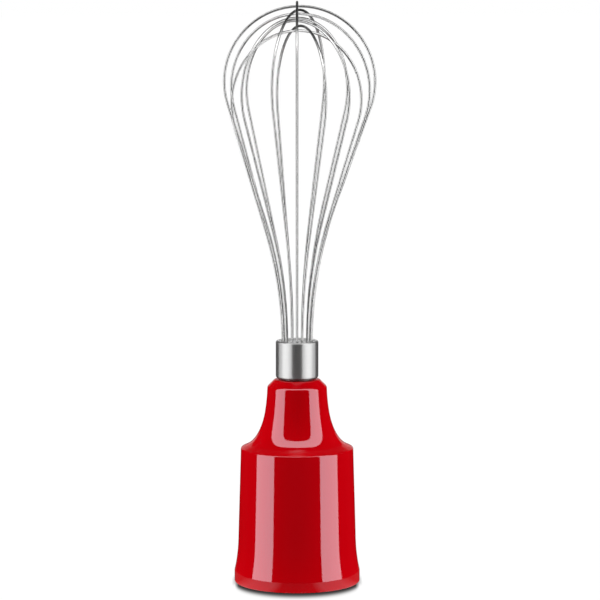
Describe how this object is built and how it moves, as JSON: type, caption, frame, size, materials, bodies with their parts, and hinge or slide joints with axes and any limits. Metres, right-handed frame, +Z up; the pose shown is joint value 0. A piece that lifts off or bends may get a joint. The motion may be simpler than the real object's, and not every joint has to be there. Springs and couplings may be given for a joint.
{
  "type": "hand blender whisk attachment",
  "caption": "Whisk attachment for a hand blender: a flared red gear housing stands on its open end, with a steel ferrule and a balloon of wire loops that spins and pulls out.",
  "frame": {"origin": "centre of the foot, on the surface that the housing stands on", "axes": "+Z up along the drive axis, from the open foot to the crown of the whisk; -Y is the front; +X is to the right seen from the front"},
  "size_m": [0.0704, 0.0708, 0.27],
  "materials": {
    "housing_red": "glossy moulded red plastic",
    "inner_plastic": "fine-textured charcoal plastic",
    "cover_plastic": "satin grey plastic",
    "drive_plastic": "glass-filled dark plastic",
    "gear_plastic": "natural acetal",
    "seal_rubber": "black nitrile rubber",
    "bushing_bronze": "sintered bronze",
    "shaft_steel": "machined steel",
    "spring_steel": "blued spring steel",
    "screw_steel": "zinc-plated steel",
    "hub_plastic": "light grey plastic",
    "ferrule_steel": "brushed stainless steel, satin",
    "wire_steel": "polished stainless wire"
  },
  "bodies": {
    "housing": {"outer_housing": "housing_red", "socket_collar": "inner_plastic", "gear_case": "inner_plastic", "gear_case_cover": "cover_plastic", "case_gasket": "seal_rubber", "assembly_screws": "screw_steel", "ring_gear": "gear_plastic", "input_bushing": "bushing_bronze", "input_seal": "seal_rubber", "lower_bushing": "bushing_bronze", "upper_bushing": "bushing_bronze", "output_seal": "seal_rubber", "output_thrust_washer": "shaft_steel"},
    "input_drive": {"input_coupling": "drive_plastic", "input_shaft": "shaft_steel", "coupling_pin": "shaft_steel", "sun_gear_1": "shaft_steel"},
    "first_carrier": {"carrier_1": "shaft_steel", "planet_pins_1": "shaft_steel", "sun_gear_2": "shaft_steel"},
    "planet_1a": {"planet_gear_1a": "gear_plastic"},
    "planet_1b": {"planet_gear_1b": "gear_plastic"},
    "planet_1c": {"planet_gear_1c": "gear_plastic"},
    "output_drive": {"carrier_2": "shaft_steel", "planet_pins_2": "shaft_steel", "output_spindle": "shaft_steel", "spindle_circlip": "spring_steel", "detent_ring": "spring_steel"},
    "planet_2a": {"planet_gear_2a": "gear_plastic"},
    "planet_2b": {"planet_gear_2b": "gear_plastic"},
    "planet_2c": {"planet_gear_2c": "gear_plastic"},
    "whisk": {"whisk_shank": "shaft_steel", "hub_pin": "shaft_steel", "wire_hub": "hub_plastic", "ferrule": "ferrule_steel", "wire_loop_1": "wire_steel", "wire_loop_2": "wire_steel", "wire_loop_3": "wire_steel", "wire_loop_4": "wire_steel", "wire_loop_5": "wire_steel", "wire_loop_6": "wire_steel", "wire_loop_7": "wire_steel", "wire_loop_8": "wire_steel"}
  },
  "joints": [
    {"name": "output_spin", "type": "hinge", "parent": "housing", "child": "output_drive", "pos_m": [0, 0, 0], "axis": [0, 0, 1], "continuous": true},
    {"name": "first_carrier_spin", "type": "hinge", "parent": "housing", "child": "first_carrier", "pos_m": [0, 0, 0], "axis": [0, 0, 1], "continuous": true},
    {"name": "input_spin", "type": "hinge", "parent": "housing", "child": "input_drive", "pos_m": [0, 0, 0], "axis": [0, 0, 1], "continuous": true},
    {"name": "planet_1a_spin", "type": "hinge", "parent": "first_carrier", "child": "planet_1a", "pos_m": [0, 0.01125, 0], "axis": [0, 0, 1], "continuous": true},
    {"name": "planet_1b_spin", "type": "hinge", "parent": "first_carrier", "child": "planet_1b", "pos_m": [-0.00974, -0.00562, 0], "axis": [0, 0, 1], "continuous": true},
    {"name": "planet_1c_spin", "type": "hinge", "parent": "first_carrier", "child": "planet_1c", "pos_m": [0.00974, -0.00562, 0], "axis": [0, 0, 1], "continuous": true},
    {"name": "planet_2a_spin", "type": "hinge", "parent": "output_drive", "child": "planet_2a", "pos_m": [0.00974, 0.00562, 0], "axis": [0, 0, 1], "continuous": true},
    {"name": "planet_2b_spin", "type": "hinge", "parent": "output_drive", "child": "planet_2b", "pos_m": [-0.00974, 0.00562, 0], "axis": [0, 0, 1], "continuous": true},
    {"name": "planet_2c_spin", "type": "hinge", "parent": "output_drive", "child": "planet_2c", "pos_m": [0, -0.01125, 0], "axis": [0, 0, 1], "continuous": true},
    {"name": "whisk_pull", "type": "slide", "parent": "output_drive", "child": "whisk", "axis": [0, 0, 1], "range_m": [0, 0.03]}
  ],
  "couplings": [
    {"joint": "first_carrier_spin", "follows": "output_spin", "ratio": 4},
    {"joint": "input_spin", "follows": "output_spin", "ratio": 16},
    {"joint": "planet_1a_spin", "follows": "output_spin", "ratio": -12},
    {"joint": "planet_1b_spin", "follows": "output_spin", "ratio": -12},
    {"joint": "planet_1c_spin", "follows": "output_spin", "ratio": -12},
    {"joint": "planet_2a_spin", "follows": "output_spin", "ratio": -3},
    {"joint": "planet_2b_spin", "follows": "output_spin", "ratio": -3},
    {"joint": "planet_2c_spin", "follows": "output_spin", "ratio": -3}
  ]
}
